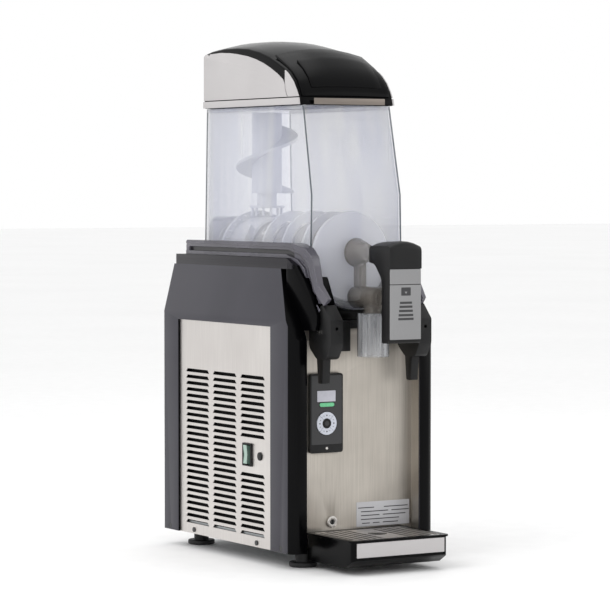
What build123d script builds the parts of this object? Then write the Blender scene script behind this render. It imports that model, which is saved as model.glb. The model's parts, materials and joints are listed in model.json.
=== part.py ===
from build123d import *
import os
from math import cos, pi, radians, sin

# Slushie machine with one bowl. Millimetres, +X to the right, +Y to the rear, +Z up.
# The origin is on the floor, in the middle of the footprint, and the tap faces -Y.

# Case
case_width = 260.0
case_depth = 400.0
case_rear = 258.0
foot_height = 24.0
kink_height = 378.0
shoulder_rise = 76.0
shoulder_inset = 19.0
wall = 3.5
pillar_width = 28.0
corner_radius = 16.0
pillar_lean = 16.0
sheet = 1.0
front_recess = 30.0
play = 0.3

# Side panels and their louvres
panel_rear_margin = 47.0
panel_front_margin = 62.0
panel_drop = 12.0
panel_lap = 7.0
louvre_pitch = 10.1
louvre_height = 5.0
louvre_width = 75.0
column_pitch = 87.0
first_louvre = 43.0
louvre_margin = 65.0
switch_setback = 73.0
switch_z = 165.0
switch_width = 27.0
switch_height = 36.0
rocker_pivot = 2.5
fitting_setback = 36.0
fitting_radius = 5.0
screw_radius = 2.0
screw_head = 4.0
gland_x = -70.0
gland_z = 64.0
gland_radius = 8.0

# Feet
foot_radius = 21.5
foot_inset = 45.0
foot_rear_margin = 42.0
foot_front_margin = 10.0
stud_radius = 4.0

# Deck and collar
deck_thickness = 16.0
nose_length = 50.0
nose_drop = 16.0
nose_inset = 51.0
nose_taper = 14.0
collar_inset = 6.0
collar_rear_margin = 28.0
collar_height = 23.0
collar_length = 68.0
collar_groove = 5.0

# Bowl, drum and motor
axis_rise = 2.0
bowl_half = 82.0
bowl_lean = 4.0
bowl_wall = 3.0
bowl_overhang = 8.0
bowl_rear_margin = 50.0
bowl_rise = 231.0
bowl_slant = 28.0
slant_drop = 137.0
shaft_radius = 8.0
motor_half = 38.0

# Auger and vertical agitator
auger_gap = 10.0
flight_height = 15.0
drum_gap = 2.0
auger_pitch = 60.0
auger_setback = 16.0
flight_thickness = 5.0
flight_gap = 34.0
mixer_margin = 58.0
mixer_radius = 50.0
mixer_column = 24.0
mixer_pitch = 97.0
peg_radius = 2.0
peg_reach = 10.0
peg_count = 32
pinion_pegs = 12

# Lid
lid_lap = 7.0
lid_front_lap = 4.0
lid_rear_gap = 3.0
lid_height = 107.0
lid_crown = 16.0
lid_wall = 2.5
trim_height = 9.5

# Tap
tap_drop = 62.0
tap_bore = 13.3
tap_wall = 3.5
tap_length = 70.0
spout_reach = 47.0
spout_radius = 24.5
spout_wall = 3.0
spout_length = 66.0
spout_drop = 23.0
pivot_reach = 95.0
pivot_rise = 6.0
lever_half = 28.0
lever_depth = 59.0
lever_reach = 43.0
lever_rise = 20.0
lever_length = 133.0
lever_split_drop = 22.0
lever_wall = 3.0
pin_radius = 3.0
running_fit = 0.05

# Bowl cams
cam_inset = 31.5
cam_width = 22.0
cam_setback = 2.0
cam_drop = 2.0
cam_reach = 31.0
cam_above = 40.0
cam_below = 41.0
cam_tail_length = 78.0
cam_tail_width = 13.0
cam_hole = 2.6

# Drip tray
tray_gap = 14.0
tray_length = 135.0
tray_base = 10.0
tray_rim = 53.0
tray_wall = 2.5
tray_corner = 9.0
tray_lip = 3.0
grid_thickness = 2.5
grid_slots = 9
grid_pitch = 6.0

# Control panel, lock and rating plate
panel_left = -82.0
panel_right = -23.0
control_base = 173.0
control_top = 294.0
control_depth = 6.0
wheel_x = -52.8
wheel_z = 218.0
wheel_radius = 17.5
button_radius = 7.5
display_left = -69.0
display_right = -36.0
display_base = 251.0
display_top = 268.0
light_left = -65.0
light_right = -39.0
light_z = 246.5
light_height = 6.0
lock_x = -40.0
lock_z = 66.0
lock_radius = 6.0
plate_left = 5.0
plate_right = 102.0
plate_base = 55.0
plate_top = 93.0

# Refrigeration and electrics inside the case
compressor_inset = 74.0
compressor_setback = 178.0
compressor_radius = 54.0
compressor_height = 150.0
fan_setback = 172.0
fan_z = 175.0
fan_radius = 78.0
fan_hub = 16.0
fan_shaft = 3.0
fan_motor_radius = 30.0
condenser_inset = 22.0
condenser_depth = 28.0
condenser_half = 90.0
condenser_top = 296.0
fin_pitch = 6.1
fin_thickness = 1.2
suction_radius = 4.0
discharge_radius = 3.0
dryer_inset = 34.0
dryer_margin = 68.0
dryer_base = 230.0
dryer_length = 70.0
board_gap = 28.0

# Places that follow from the sizes above, across the machine
half = case_width / 2
shoulder = half - shoulder_inset
panel_face = half - wall
return_x = half - pillar_width + 5.0
deck_half = shoulder
collar_half = deck_half - collar_inset
nose_inner = deck_half - nose_inset
cam_x = deck_half - cam_inset
cam_gap = cam_width / 2 + play
rocker_x = -panel_face + 2.0
foot_x = half - foot_inset
tray_half = half - pillar_width - tray_gap
lid_half = bowl_half - bowl_lean + lid_lap
condenser_x = -half + condenser_inset
compressor_x = half - compressor_inset
dryer_x = half - dryer_inset

# From front to rear
case_front = case_rear - case_depth
front_face = case_front + front_recess
panel_rear = case_rear - panel_rear_margin
panel_front = case_front + panel_front_margin
switch_y = panel_front + switch_setback
fitting_y = panel_front + fitting_setback
foot_rear = case_rear - foot_rear_margin
foot_front = front_face + foot_front_margin
nose_front = front_face - nose_length
collar_rear = case_rear - collar_rear_margin
collar_front = front_face - collar_length
bowl_front = front_face - bowl_overhang
bowl_rear = case_rear - bowl_rear_margin
bowl_top_front = bowl_front + bowl_slant
mixer_y = bowl_rear - mixer_margin
auger_front = bowl_front + auger_setback
flight_end = mixer_y - flight_gap
lid_front = bowl_top_front - lid_front_lap
lid_rear = bowl_rear - lid_rear_gap
tap_front = bowl_front - tap_length
spout_y = bowl_front - spout_reach
pivot_y = bowl_front - pivot_reach
lever_front = pivot_y - lever_reach
cam_y = nose_front + cam_setback
tray_front = front_face - tray_length
fan_y = front_face + fan_setback
compressor_y = front_face + compressor_setback
dryer_y = case_rear - dryer_margin

# From the floor up
pan_floor = foot_height + wall
panel_top = kink_height - panel_drop
pillar_top = kink_height - 2 * pillar_lean
shoulder_height = kink_height + shoulder_rise
deck_top = shoulder_height + deck_thickness
nose_base = kink_height - nose_drop
axis_height = deck_top + axis_rise
bowl_top = axis_height + bowl_rise
slant_start = bowl_top - slant_drop
lid_top = bowl_top + lid_height
lid_side_top = lid_top - lid_crown
tap_height = axis_height - tap_drop
spout_top = tap_height - spout_drop
spout_base = spout_top - spout_length
pivot_z = axis_height + pivot_rise
lever_top = pivot_z + lever_rise
lever_base = pivot_z - lever_length
lever_split = pivot_z - lever_split_drop
cam_z = nose_base - cam_drop
cam_tail = cam_z - cam_tail_length
auger_radius = bowl_half - bowl_wall - auger_gap
auger_bore = auger_radius - flight_height
drum_radius = auger_bore - drum_gap
peg_circle = auger_bore + peg_reach
pinion_circle = peg_circle * pinion_pegs / peg_count
louvre_rows = int((panel_top - louvre_margin - first_louvre) / louvre_pitch)


def block(x0, x1, y0, y1, z0, z1):
    box = Box(x1 - x0, y1 - y0, z1 - z0)
    return Pos((x0 + x1) / 2, (y0 + y1) / 2, (z0 + z1) / 2) * box


def rod_x(x0, x1, y, z, radius):
    return Pos((x0 + x1) / 2, y, z) * Rot(0, 90, 0) * Cylinder(radius, x1 - x0)


def rod_y(y0, y1, x, z, radius):
    return Pos(x, (y0 + y1) / 2, z) * Rot(90, 0, 0) * Cylinder(radius, y1 - y0)


def rod_z(z0, z1, x, y, radius):
    return Pos(x, y, (z0 + z1) / 2) * Cylinder(radius, z1 - z0)


def closed_face(points, radius):
    if radius == 0:
        return make_face(Polyline(*points, close=True))
    return make_face(FilletPolyline(*points, radius=radius, close=True))


def prism_x(points, x0, x1, radius=0):
    # points are (y, z)
    plane = Plane(origin=(x0, 0, 0), x_dir=(0, 1, 0), z_dir=(1, 0, 0))
    return extrude(plane * closed_face(points, radius), amount=x1 - x0)


def prism_y(points, y0, y1, radius=0):
    # points are (x, z)
    plane = Plane(origin=(0, y1, 0), x_dir=(1, 0, 0), z_dir=(0, -1, 0))
    return extrude(plane * closed_face(points, radius), amount=y1 - y0)


def prism_z(points, z0, z1, radius=0):
    # points are (x, y)
    return extrude(Pos(0, 0, z0) * closed_face(points, radius), amount=z1 - z0)


def mirrored(shape):
    return mirror(shape, about=Plane.YZ)


def both_sides(shape):
    return shape + mirrored(shape)


def save(name, shape):
    export_step(shape, "parts/" + name + ".step")


def group(*solids):
    return Compound(children=[solid for shape in solids for solid in shape.solids()])


# Case

def side_section(grow, inner, base, top):
    outer = half + grow
    slope_top = shoulder + grow
    return [(-outer, base), (-outer, kink_height), (-slope_top, top), (-inner, top), (-inner, base)]


def side_outline(grow):
    front = case_front - grow
    top = shoulder_height + grow
    return [
        (case_rear + grow, foot_height - grow),
        (case_rear + grow, top),
        (front + 62.0, top),
        (front + pillar_lean, kink_height),
        (front, pillar_top),
        (front, foot_height - grow),
    ]


def panel_seat(lap, x0, x1):
    low = foot_height
    return block(x0, x1, panel_front - lap, panel_rear + lap, low, panel_top + lap)


def screw_places():
    inset = 31.0
    low = foot_height + 6.5
    seats = [(case_rear - 20.0, half), (case_front + inset, half)]
    seats += [(panel_rear - 46.0, panel_face), (panel_front + 47.0, panel_face)]
    return [(y, low, x) for y, x in seats]


def screw_holes(inner):
    holes = [rod_x(-x - 1, -inner, y, z, screw_radius) for y, z, x in screw_places()]
    heads = [rod_x(-x - 1, 1.6 - x, y, z, screw_head + play) for y, z, x in screw_places() if x == half]
    return holes + heads


def side_moulding():
    inner = half - pillar_width
    outer = prism_y(side_section(0, inner, foot_height, shoulder_height), case_front, case_rear)
    outer = outer & prism_x(side_outline(0), -half - 1, -inner + 1)
    corners = outer.edges().filter_by(Axis.Z).group_by(Axis.Y)[0].group_by(Axis.X)[0]
    outer = fillet(corners, corner_radius)
    section = side_section(-wall, inner - 5, foot_height + wall, shoulder_height - wall)
    hollow = prism_y(section, case_front + wall, case_rear - wall)
    hollow = hollow & prism_x(side_outline(-wall), -half, -inner + 5)
    inside = hollow.edges().filter_by(Axis.Z).group_by(Axis.Y)[0].group_by(Axis.X)[0]
    hollow = fillet(inside, corner_radius - wall)
    shell = outer - hollow
    shell = shell - panel_seat(0, -half - 1, -panel_face)
    seat = panel_seat(panel_lap, -panel_face, -panel_face + wall)
    shell = shell + seat
    shell = shell - panel_seat(0, -panel_face, -panel_face + sheet)
    window = block(-half, -inner, panel_front + panel_lap, panel_rear - panel_lap,
                   foot_height + 3 * wall, panel_top - panel_lap)
    shell = shell - window
    for hole in screw_holes(half - 3 * wall):
        shell = shell - hole
    return shell


def louvre_slots(columns, rows, skipped):
    slots = Sketch()
    for column, (low, high) in enumerate(columns):
        for row in range(rows):
            if (column, row) in skipped:
                continue
            place = Pos((low + high) / 2, first_louvre + row * louvre_pitch)
            slots = slots + place * SlotOverall(high - low, louvre_height)
    return slots


def louvre_columns():
    columns = []
    rear = panel_rear - 20
    while rear - louvre_width > panel_front + 15:
        columns.append((rear - louvre_width, rear))
        rear = rear - column_pitch
    return columns


def slots_under_switch(columns):
    first = int((switch_z - switch_height / 2 - first_louvre) / louvre_pitch)
    last = first + int(switch_height / louvre_pitch) + 1
    near = [index for index, (low, high) in enumerate(columns)
            if low < fitting_y + fitting_radius + 4 or low < switch_y + switch_width / 2]
    return [(index, row) for index in near for row in range(first, last + 1)]


def side_panel(with_switch):
    shape = block(-panel_face, -panel_face + sheet, panel_front, panel_rear, foot_height, panel_top)
    columns = louvre_columns()
    plane = Plane(origin=(-panel_face - 1, 0, 0), x_dir=(0, 1, 0), z_dir=(1, 0, 0))
    slots = plane * louvre_slots(columns, louvre_rows, slots_under_switch(columns))
    shape = shape - extrude(slots, amount=sheet + 2)
    for hole in screw_holes(panel_face - 2 * sheet):
        shape = shape - hole
    if with_switch:
        shape = shape - switch_body(sheet + 2)
        shape = shape - rod_x(-half, -panel_face + 2, fitting_y, switch_z, fitting_radius)
    return shape


def base_pan():
    edge = panel_face - wall - play
    front = front_face + 2 * sheet
    rear = case_rear - wall - 2 * sheet
    pan = block(-edge, edge, front, rear, pan_floor, pan_floor + 16)
    pan = pan - block(-edge + sheet, edge - sheet, front + sheet, rear - sheet, pan_floor + sheet, 90)
    for x, y in foot_places():
        pan = pan - rod_z(0, 60, x, y, stud_radius)
    for hole in screw_holes(half - 3 * wall - 3):
        pan = pan - both_sides(hole)
    return pan


def foot_places():
    return [(x, y) for x in (-foot_x, foot_x) for y in (foot_front, foot_rear)]


def foot(x, y):
    collar = foot_radius * 0.55
    low = 7.0
    shape = rod_z(0, low, 0, 0, foot_radius)
    shape = fillet(shape.edges().filter_by(GeomType.CIRCLE), 1.5)
    shape = shape + rod_z(low, pan_floor, 0, 0, collar)
    shape = shape + rod_z(pan_floor, pan_floor + 12, 0, 0, stud_radius)
    return Pos(x, y, 0) * shape


def front_panel():
    base = pan_floor
    top = nose_base
    plate = block(-return_x, return_x, front_face, front_face + sheet, base, top)
    wing = block(-return_x, -return_x + sheet, case_front + wall, front_face, base, pillar_top - wall)
    plate = plate + both_sides(wing)
    hole = block(panel_left + 4, panel_right - 4, front_face - 1, front_face + 2,
                 control_base + 4, control_top - 4)
    plate = plate - hole
    return plate - rod_y(front_face - 1, front_face + 2, lock_x, lock_z, lock_radius)


def rear_panel():
    edge = return_x + 2
    rear = case_rear - wall
    top = shoulder_height - wall - 12
    plate = block(-edge, edge, rear - sheet, rear, pan_floor, top)
    plane = Plane(origin=(0, rear + 1, 0), x_dir=(1, 0, 0), z_dir=(0, -1, 0))
    slots = plane * louvre_slots([(-90.0, -8.0), (8.0, 90.0)], louvre_rows - 4, [])
    plate = plate - Pos(0, 0, 60) * extrude(slots, amount=sheet + 2)
    return plate - rod_y(rear - 5, rear + 5, gland_x, gland_z, gland_radius)


def cable_gland():
    rear = case_rear - wall
    nut = rod_y(rear - sheet - 4, rear - sheet, gland_x, gland_z, gland_radius + 4)
    neck = rod_y(rear - sheet, rear, gland_x, gland_z, gland_radius)
    cap = rod_y(rear, case_rear - play, gland_x, gland_z, gland_radius + 3)
    bore = rod_y(rear - 20, case_rear + 1, gland_x, gland_z, gland_radius / 2)
    return nut + neck + cap - bore


def case_screws():
    screws = []
    for y, z, x in screw_places():
        face = -x
        head = rod_x(face - 1.4, face, y, z, screw_head)
        if x == half:
            face = -half
            head = rod_x(face, face + 1.6, y, z, screw_head)
        shank = rod_x(-x + 1.4, -half + 3 * wall - 1, y, z, screw_radius)
        screws.append(head + shank)
    return screws


# Deck and bowl

def nose_line(inset):
    # the sloping front of the deck, from its top edge down to its tip
    drop = deck_top - nose_base - 23
    run = front_face + 14 - nose_front
    steps = [(1.0, 0.0), (0.67, 0.13), (0.42, 0.38), (0.2, 0.68), (0.0, 1.0)]
    return [(nose_front + run * along + inset, deck_top - drop * down - inset) for along, down in steps]


def nose_outline(inset):
    rear = front_face + 15
    low = nose_base + inset
    tip = [(nose_front + inset, nose_base + 10), (nose_front + inset + 4, low)]
    return [(rear, deck_top - inset)] + nose_line(inset) + tip + [(rear, low)]


def above_nose():
    # the space over the sloping front of the deck
    far = nose_front - 60
    rest = [(far, nose_line(0)[-1][1]), (far, deck_top + 1), (nose_line(0)[0][0], deck_top + 1)]
    return prism_x(nose_line(0) + rest, -deck_half - 1, deck_half + 1)


def under_deck():
    # the space under the top surface of the deck and its sloping front
    low = nose_base - 60
    rest = [(nose_front, low), (case_rear + 50, low), (case_rear + 50, deck_top)]
    return prism_x(nose_line(0) + rest, -deck_half - 1, deck_half + 1)


def nose_half(y):
    # half the width of the deck, which narrows towards its tip
    share = (front_face + 14 - y) / (front_face + 14 - nose_front)
    return deck_half - nose_taper * min(max(share, 0), 1)


def tapered_plan(side, start, tip, front):
    rear = case_rear + 60
    return [(-side, rear), (side, rear), (side, start), (tip, front), (-tip, front), (-side, start)]


def trough(radius, y0, y1, top, lean=0):
    low = axis_height - radius - 1
    lower = rod_y(y0, y1, 0, axis_height, radius)
    lower = lower & block(-radius - 1, radius + 1, y0, y1, low, min(top, axis_height + 1))
    if top <= axis_height:
        return lower
    narrow = radius - lean * (top - axis_height) / (bowl_top - axis_height)
    upper = [(-radius, axis_height), (radius, axis_height), (narrow, top), (-narrow, top)]
    return lower + prism_y(upper, y0, y1)


def cam_sweep():
    # the radius that a turning cam needs above and behind its pin
    return (cam_above ** 2 + 10 ** 2) ** 0.5 + 1.5


def cam_room():
    reach = cam_sweep()
    room = rod_x(cam_x - cam_gap, cam_x + cam_gap, cam_y, cam_z, reach)
    below = block(cam_x - cam_gap, cam_x + cam_gap, cam_y - 140, cam_y + reach, cam_z - 160, cam_z)
    ahead = block(cam_x - cam_gap, cam_x + cam_gap, cam_y - 140, cam_y, cam_z, cam_z + reach)
    return room + below + ahead


def top_deck():
    inset = 6.0
    rear = case_rear - inset
    low = shoulder_height
    plate = block(-deck_half, deck_half, front_face, rear, low, deck_top)
    bed = trough(bowl_half + wall + 2, front_face, bowl_rear + 3, deck_top)
    start = front_face + 14
    tip = deck_half - nose_taper
    nose = prism_x(nose_outline(0), nose_inner, deck_half)
    nose = nose & prism_z(tapered_plan(deck_half, start, tip, nose_front), 0, deck_top + 1)
    inside = prism_x(nose_outline(wall), nose_inner + wall, deck_half)
    plan = tapered_plan(deck_half - wall, start, tip - wall, nose_front)
    nose = nose - (inside & prism_z(plan, 0, deck_top + 1))
    apron = block(-return_x, return_x, front_face, front_face + wall, nose_base, low)
    deck = plate + bed + apron + both_sides(nose)
    deck = deck - trough(bowl_half + 2, bowl_front - play, bowl_rear + 3, deck_top + 50)
    deck = deck - above_nose()
    deck = deck - both_sides(prism_x(side_outline(0), -half - 1, pillar_width - half))
    deck = deck - block(-bowl_half - 2, bowl_half + 2, case_front - 80, front_face, axis_height - 30, 600)
    deck = deck - both_sides(cam_room())
    deck = deck - both_sides(rod_x(nose_inner - 1, nose_half(cam_y) - wall, cam_y, cam_z, pin_radius))
    well = block(-motor_half - 2, motor_half + 2, bowl_rear + 2, case_rear - 8, 300, deck_top + 5)
    return deck - well


def drive_housing():
    rear = case_rear - 6
    front = bowl_rear + 3
    side = motor_half + 12
    top = axis_height + motor_half + 20
    cover = block(-side, side, front, rear, deck_top, top)
    cover = fillet(cover.edges().filter_by(Axis.Y).group_by(Axis.Z)[-1], 18)
    inside = block(wall - side, side - wall, front + wall, rear - wall, deck_top - 1, top - wall)
    cover = cover - inside
    return cover - rod_y(front - 5, front + 5, 0, axis_height, motor_half)


def collar_layer(high, low, inset):
    # one layer of the collar between two depths under its top, pulled in by inset
    top = deck_top + collar_height
    drop = top - nose_base - 48
    run = front_face + 10 - collar_front
    steps = [(1.0, 0.0), (0.64, 0.09), (0.44, 0.25), (0.38, 0.45), (0.29, 0.74), (0.0, 1.0)]
    line = [(collar_front + run * along, top - drop * down) for along, down in steps]
    rear = collar_rear - inset
    upper = [(y + high + inset, z - high) for y, z in line]
    lower = [(y + low, z - low) for y, z in reversed(line)]
    return [(rear, top - high)] + upper + lower + [(rear, top - low)]


def bowl_collar():
    lip = (collar_height - 11) / 2
    tip = nose_half(nose_front) - 9
    start = front_face + 10
    ring = None
    for high, low, inset in ((0, lip, 0), (lip, lip + 11, collar_groove), (lip + 11, collar_height, 0)):
        body = prism_x(collar_layer(high, low, inset), -collar_half, collar_half)
        plan = tapered_plan(collar_half - inset, start, tip - inset, collar_front)
        layer = body & prism_z(plan, deck_top - 200, deck_top + 60)
        ring = layer if ring is None else ring + layer
    inner = bowl_half + play
    ring = ring - block(-inner, inner, collar_front - 50, bowl_rear + 3, nose_base - 60, deck_top + 60)
    side = motor_half + 10
    ring = ring - block(-side, side, bowl_rear, case_rear, nose_base, deck_top + 60)
    return ring - under_deck() - both_sides(cam_room()) + drive_housing()


def bowl_profile(inset):
    return [
        (bowl_rear - inset, axis_height - bowl_half - 5),
        (bowl_rear - inset, bowl_top + inset),
        (bowl_top_front + inset, bowl_top + inset),
        (bowl_front + inset, slant_start),
        (bowl_front + inset, axis_height - bowl_half - 5),
    ]


def bowl():
    outer = trough(bowl_half, bowl_front, bowl_rear, bowl_top, bowl_lean)
    outer = outer & prism_x(bowl_profile(0), -bowl_half, bowl_half)
    front = bowl_front + bowl_wall
    rear = bowl_rear - bowl_wall
    inner = trough(bowl_half - bowl_wall, front, rear, bowl_top + 10, bowl_lean)
    inner = inner & prism_x(bowl_profile(bowl_wall), -bowl_half, bowl_half)
    shell = outer - inner
    shell = shell - rod_y(bowl_rear - 10, bowl_rear + 1, 0, axis_height, drum_radius + 4)
    return shell - rod_y(bowl_front - 1, bowl_front + 10, 0, tap_height, tap_bore - 1.3)


def evaporator_drum():
    front = auger_front + 12
    rear = bowl_rear + 3
    tube = rod_y(front, rear, 0, axis_height, drum_radius)
    tube = tube + rod_y(bowl_rear - bowl_wall, rear, 0, axis_height, drum_radius + 3.5)
    tube = tube - rod_y(front + 3, rear + 1, 0, axis_height, drum_radius - 2)
    hub = rod_y(front, front + 12, 0, axis_height, shaft_radius + 6)
    return tube + hub - rod_y(front - 1, front + 20, 0, axis_height, shaft_radius + running_fit)


def drum_seal():
    outer = drum_radius + 9
    ring = rod_y(bowl_rear, bowl_rear + 3, 0, axis_height, outer)
    return ring - rod_y(bowl_rear - 1, bowl_rear + 4, 0, axis_height, drum_radius + 3.5)


def gearmotor():
    front = bowl_rear + 8
    rear = case_rear - 14
    box = block(-motor_half, motor_half, front, rear, axis_height - 64, axis_height + motor_half)
    motor = rod_z(axis_height - 150, axis_height - 64, 0, (front + rear) / 2, 17)
    return box + motor - rod_y(front - 1, rear + 1, 0, axis_height, shaft_radius + running_fit)


def drive_shaft():
    return rod_y(auger_front + 4, case_rear - 18, 0, axis_height, shaft_radius)


def helix_section(along, turn, inner, outer, thickness, frame):
    rectangle = Rectangle(outer - inner, thickness)
    local = Pos((inner + outer) / 2, 0) * rectangle
    plane = Plane(origin=(0, 0, along), x_dir=(cos(turn), sin(turn), 0), z_dir=(sin(turn), -cos(turn), 0))
    return frame * (plane * local)


def helical_flight(length, pitch, inner, outer, thickness, frame):
    steps = int(18 * length / pitch)
    sections = []
    for i in range(steps + 1):
        share = i / steps
        sections.append(helix_section(share * length, 2 * pi * share * length / pitch,
                                      inner, outer, thickness, frame))
    return loft(sections, ruled=True)


def auger():
    front = auger_front + 4
    disc = rod_y(auger_front, front, 0, axis_height, auger_radius)
    disc = fillet(disc.edges().group_by(Axis.Y)[0], 3)
    frame = Plane(origin=(0, front - 1, axis_height), x_dir=(1, 0, 0), z_dir=(0, 1, 0))
    length = flight_end - front + 1
    flight = helical_flight(length, auger_pitch, auger_bore + 1, auger_radius, flight_thickness, frame)
    ring_front = mixer_y + pinion_circle + 3
    ring_rear = ring_front + 6
    sleeve_radius = auger_bore + 4
    sleeve = rod_y(flight_end - 6, ring_rear, 0, axis_height, sleeve_radius)
    sleeve = sleeve + rod_y(ring_front, ring_rear, 0, axis_height, peg_circle + 4)
    sleeve = sleeve - rod_y(flight_end - 10, ring_rear + 1, 0, axis_height, auger_bore)
    shape = disc + flight + sleeve
    for k in range(peg_count):
        turn = 2 * pi * k / peg_count
        x = peg_circle * sin(turn)
        z = axis_height + peg_circle * cos(turn)
        shape = shape + rod_y(ring_front - 8, ring_front + 1, x, z, peg_radius)
    return shape


def agitator():
    mesh = axis_height + peg_circle
    foot_low = mesh + 8
    column_low = foot_low + 4
    top = bowl_top - 6
    shape = rod_z(foot_low, column_low, 0, 0, pinion_circle + 4)
    shape = shape + rod_z(column_low, column_low + 20, 0, 0, 16)
    shape = shape + Pos(0, 0, (column_low + 20 + top) / 2) * Cylinder(mixer_column, top - column_low - 20)
    frame = Plane(origin=(0, 0, column_low + 22), x_dir=(1, 0, 0), z_dir=(0, 0, 1))
    length = top - column_low - 30
    flight = helical_flight(length, mixer_pitch, mixer_column - 3, mixer_radius, flight_thickness, frame)
    shape = shape + flight
    for k in range(pinion_pegs):
        turn = 2 * pi * (k + 0.5) / pinion_pegs
        x = pinion_circle * sin(turn)
        y = pinion_circle * cos(turn)
        shape = shape + rod_z(mesh - 4, foot_low + 1, x, y, peg_radius)
    return Pos(0, mixer_y, 0) * shape


# Lid

def lid_outline(inset, base, extra):
    top = lid_top - inset - extra
    return [
        (lid_rear - inset, base),
        (lid_rear - inset, top - 5),
        (mixer_y - 10, top),
        (lid_front + 130, top - 12),
        (lid_front + 50, top - 44),
        (lid_front + inset + 12, top - 74),
        (lid_front + inset, base + 3 + trim_height),
        (lid_front + inset, base),
    ]


def lid_solid(inset, base):
    side = lid_half - inset
    edge = lid_side_top - inset
    body = prism_x(lid_outline(inset, base, 0), -side, side, [0, 14, 60, 60, 60, 20, 0, 0])
    arc = ThreePointArc((-side, edge), (0, lid_top - inset), (side, edge))
    crown = make_face([arc, Polyline((side, edge), (side, base), (-side, base), (-side, edge))])
    plane = Plane(origin=(0, lid_rear + 1, 0), x_dir=(1, 0, 0), z_dir=(0, -1, 0))
    return body & extrude(plane * crown, amount=lid_rear - lid_front + 2)


def lid_window(x0, x1):
    base = bowl_top + 10 + play
    points = lid_outline(9, base, 14)
    return prism_x(points, x0, x1, [4, 10, 40, 40, 40, 12, 0, 4])


def lid_cover():
    base = bowl_top + play
    shell = lid_solid(0, base) - lid_solid(lid_wall, base + lid_wall)
    rim = bowl_half - bowl_lean - bowl_wall
    hole = block(-rim, rim, bowl_top_front + 6, bowl_rear - 14, base - 1, base + 5)
    shell = shell - hole
    shell = shell - lid_window(-lid_half - 1, -lid_half + lid_wall + 0.5)
    return shell - lid_window(lid_half - lid_wall - 0.5, lid_half + 1)


def lid_side():
    return lid_window(-lid_half, -lid_half + lid_wall)


def lid_trim():
    base = bowl_top + play
    return block(23 - lid_half, lid_half - 19, lid_front - 1.2, lid_front, base + 1, base + 1 + trim_height)


# Tap

def tap_body():
    outer = tap_bore + tap_wall
    tube = rod_y(tap_front, bowl_front, 0, tap_height, outer)
    neck = rod_z(spout_top, tap_height, 0, spout_y, outer - 3)
    boss = Pos(0, bowl_front - 16, pivot_z) * Rot(90, 0, 0) * Cone(22.5, 13, 32)
    web = block(-5, 5, bowl_front - 20, bowl_front, tap_height, pivot_z)
    arm = block(-5, 5, pivot_y, bowl_front - 20, pivot_z - 8, pivot_z + 8)
    arm = arm + rod_x(-5, 5, pivot_y, pivot_z, 8)
    body = tube + neck + boss + web + arm
    body = body - rod_y(tap_front - 1, bowl_front + 1, 0, tap_height, tap_bore)
    body = body - rod_z(spout_top - 1, tap_height, 0, spout_y, 10)
    return body - rod_x(-6, 6, pivot_y, pivot_z, pin_radius)


def tap_spout():
    outer = rod_z(spout_base, spout_top, 0, spout_y, spout_radius)
    inner = rod_z(spout_base - 1, spout_top - spout_wall, 0, spout_y, spout_radius - spout_wall)
    return outer - inner - rod_z(spout_base, spout_top + 1, 0, spout_y, 10)


def tap_piston():
    rear = bowl_front - 30
    front = tap_front - 5
    body = rod_y(front, rear, 0, tap_height, tap_bore - play)
    for y in ring_places():
        groove = rod_y(y - 1.6, y + 1.6, 0, tap_height, tap_bore)
        body = body - (groove - rod_y(y - 2, y + 2, 0, tap_height, tap_bore - 3))
    rod = rod_y(lever_front + 18, front, 0, tap_height, 5)
    head = rod_y(lever_front + 15, lever_front + 18, 0, tap_height, 7.5)
    return body + rod + head


def ring_places():
    return [bowl_front - 34, bowl_front - 44, bowl_front - 62]


def piston_rings():
    rings = []
    for y in ring_places():
        ring = rod_y(y - 1.3, y + 1.3, 0, tap_height, tap_bore - play / 2)
        rings.append(ring - rod_y(y - 2, y + 2, 0, tap_height, tap_bore - 3))
    return rings


def tap_lever():
    back = lever_front + lever_depth
    skin = lever_front + 4
    paddle_back = lever_front + 24
    side = [(back, lever_split), (back, lever_top), (lever_front, lever_top), (lever_front, lever_split)]
    top = prism_x(side, -lever_half, lever_half, [0, 14, 24, 0])
    slot_top = pivot_z + 13.5
    top = top - block(-9.5, 9.5, pivot_y - 14, back + 1, lever_split - 1, slot_top)
    paddle = block(-lever_half, lever_half, skin, paddle_back, lever_base, lever_split)
    room = block(-lever_half + lever_wall, lever_half - lever_wall, skin + lever_wall,
                 paddle_back - lever_wall, lever_base + lever_wall, lever_split - 2)
    slot = block(-6.5, 6.5, paddle_back - lever_wall - 1, paddle_back + 1, tap_height - 17, tap_height + 7)
    lever = top + paddle - room - slot
    return lever - rod_x(-lever_half - 1, lever_half + 1, pivot_y, pivot_z, pin_radius + running_fit)


def lever_face():
    return block(-lever_half + 1, lever_half - 1, lever_front, lever_front + 4, lever_base + 6, lever_split)


def lever_pin():
    return rod_x(-lever_half + 2, lever_half - 2, pivot_y, pivot_z, pin_radius)


def lever_spring():
    coil = None
    for k in range(3):
        turn = Pos(6.0 + 1.2 * k, pivot_y, pivot_z) * Rot(0, 90, 0) * Torus(6.0, 0.7)
        coil = turn if coil is None else coil + turn
    return coil


def drip_chute():
    edge = nose_inner - 2
    bar = block(-edge, edge, front_face - 14, front_face, nose_base, nose_base + 12)
    bar = bar - block(-edge + 3, edge - 3, front_face - 11, front_face - 3, nose_base + 3, nose_base + 20)
    tongue = block(-34, -18, front_face - 20, front_face - 14, nose_base - 34, nose_base + 12)
    return bar + tongue


# Bowl cams

def cam_outline():
    front = cam_y - cam_reach
    rear = cam_y + cam_reach
    top = cam_z + cam_above
    low = cam_z - cam_below
    points = [(cam_y - 3, top), (cam_y - 10, top), (front, cam_z + 18), (front, cam_z - 20)]
    points += [(cam_y - 18, low), (cam_y + 10, low), (rear, cam_z - 24), (rear, cam_z + 6)]
    return points


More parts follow.
